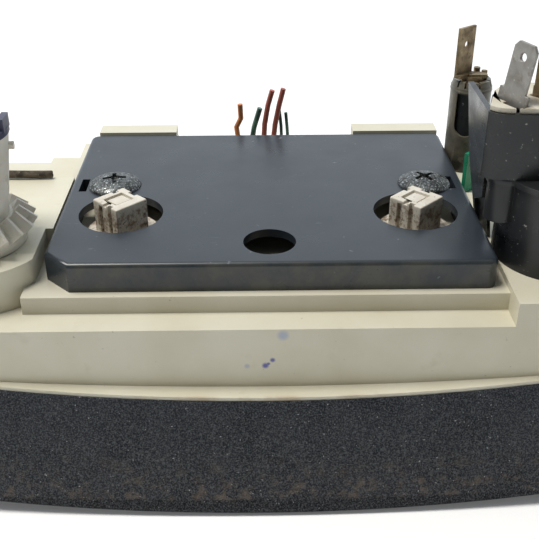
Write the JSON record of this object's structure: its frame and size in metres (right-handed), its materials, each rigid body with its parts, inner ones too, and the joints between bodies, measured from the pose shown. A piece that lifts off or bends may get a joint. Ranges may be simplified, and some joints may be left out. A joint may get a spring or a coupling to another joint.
{
  "type": "heater control panel",
  "caption": "Vehicle heater and ventilation control panel with turning dials, bevel gear cable drive, fan switch, push buttons and twist-out lamp holders behind a screwed cover.",
  "frame": {"origin": "under the middle of the panel, on the plane of the front frame it lies on", "axes": "+X along the panel, +Y towards the far long edge as pictured, +Z out of the rear of the panel"},
  "size_m": [0.2104, 0.1194, 0.1001],
  "materials": {
    "black_grained": "fine grain",
    "black_gloss": "gloss",
    "smoked_lens": "smoked clear plastic",
    "clear_guide": "clear moulded",
    "board": "solder resist",
    "steel": "zinc plated",
    "brass": "aged",
    "dome_rubber": "matt",
    "white_mark": "satin",
    "gear_nylon": "satin, soiled",
    "navy_plastic": "satin",
    "cream_plastic": "satin, aged",
    "cover_black": "satin sheen, scuffed",
    "dark_zinc": "weathered zinc",
    "foam": "worn foam",
    "lamp_cream": "soiled",
    "bulb_glass": "clear",
    "switch_black": "gloss, dusty",
    "board_cream": "pressed board",
    "tinned": "tinned",
    "sleeve_black": "crimped",
    "green_film": "tinted film",
    "wire_orange": "insulation",
    "wire_green": "insulation",
    "wire_red": "insulation"
  },
  "bodies": {
    "panel": {"bezel": "black_grained", "front_panel": "black_gloss", "display_lens": "smoked_lens", "light_guide": "clear_guide", "circuit_board": "board", "board_screws": "steel", "spring_1": "dome_rubber", "spring_2": "dome_rubber", "spring_3": "dome_rubber", "spring_4": "dome_rubber", "dial_well_left": "black_gloss", "dial_well_right": "black_gloss", "thrust_washer": "steel", "gear_bracket": "cream_plastic", "cable_clamp": "steel", "housing": "cream_plastic", "housing_screws": "steel", "rear_cover": "cover_black", "cover_screws": "dark_zinc", "foam_strip": "foam", "switch_body": "switch_black", "contact_plate": "brass", "detent_ball": "steel", "terminal_box": "switch_black", "terminal_board": "board_cream", "blade_tinned": "tinned", "blades_brass": "brass", "socket_sleeve": "sleeve_black", "socket_terminal": "brass", "socket_bulb": "bulb_glass", "green_filter": "green_film", "wire_orange": "wire_orange", "wire_green": "wire_green", "wire_red_a": "wire_red", "wire_red_b": "wire_red", "wire_thin_a": "wire_green", "wire_thin_b": "wire_green"},
    "temp_dial": {"temp_knob": "black_gloss", "temp_pointer": "white_mark", "temp_clip": "steel", "temp_gear": "gear_nylon", "hub_ring": "navy_plastic"},
    "cable_drive": {"cable_gear": "gear_nylon", "gear_axle": "steel", "crank_arm": "steel", "axle_clip": "steel"},
    "fan_dial": {"fan_knob": "black_gloss", "fan_pointer": "white_mark", "fan_clip": "steel", "fan_rotor": "gear_nylon", "fan_wiper": "brass"},
    "lamp_left": {"lamp_holder_left": "lamp_cream", "lamp_bulb_left": "bulb_glass"},
    "lamp_right": {"lamp_holder_right": "lamp_cream", "lamp_bulb_right": "bulb_glass"},
    "button_1": {"button_1": "black_gloss"},
    "button_2": {"button_2": "black_gloss"},
    "button_3": {"button_3": "black_gloss"},
    "button_4": {"button_4": "black_gloss"}
  },
  "joints": [
    {"name": "temp_turn", "type": "hinge", "parent": "panel", "child": "temp_dial", "pos_m": [-0.0686, -0.0245, 0.06], "axis": [0, 0, 1], "range_deg": [-75, 75]},
    {"name": "cable_turn", "type": "hinge", "parent": "panel", "child": "cable_drive", "pos_m": [-0.088, -0.0245, 0.0717], "axis": [-1, 0, 0], "range_deg": [-75, 75]},
    {"name": "fan_turn", "type": "hinge", "parent": "panel", "child": "fan_dial", "pos_m": [0.0686, -0.0245, 0.06], "axis": [0, 0, 1], "range_deg": [0, 120]},
    {"name": "lamp_left_twist", "type": "hinge", "parent": "panel", "child": "lamp_left", "pos_m": [-0.0361, -0.0132, 0.05], "axis": [0, 0, 1], "range_deg": [0, 45]},
    {"name": "lamp_right_twist", "type": "hinge", "parent": "panel", "child": "lamp_right", "pos_m": [0.0361, -0.0132, 0.05], "axis": [0, 0, 1], "range_deg": [0, 45]},
    {"name": "button_1_press", "type": "slide", "parent": "panel", "child": "button_1", "axis": [0, 0, 1], "range_m": [0, 0.0024], "stiffness_N_per_m": 400, "springref_m": -0.0012, "deforming": ["spring_1"]},
    {"name": "button_2_press", "type": "slide", "parent": "panel", "child": "button_2", "axis": [0, 0, 1], "range_m": [0, 0.0024], "stiffness_N_per_m": 400, "springref_m": -0.0012, "deforming": ["spring_2"]},
    {"name": "button_3_press", "type": "slide", "parent": "panel", "child": "button_3", "axis": [0, 0, 1], "range_m": [0, 0.0024], "stiffness_N_per_m": 400, "springref_m": -0.0012, "deforming": ["spring_3"]},
    {"name": "button_4_press", "type": "slide", "parent": "panel", "child": "button_4", "axis": [0, 0, 1], "range_m": [0, 0.0024], "stiffness_N_per_m": 400, "springref_m": -0.0012, "deforming": ["spring_4"]}
  ],
  "couplings": [
    {"joint": "cable_turn", "follows": "temp_turn", "ratio": 1}
  ]
}
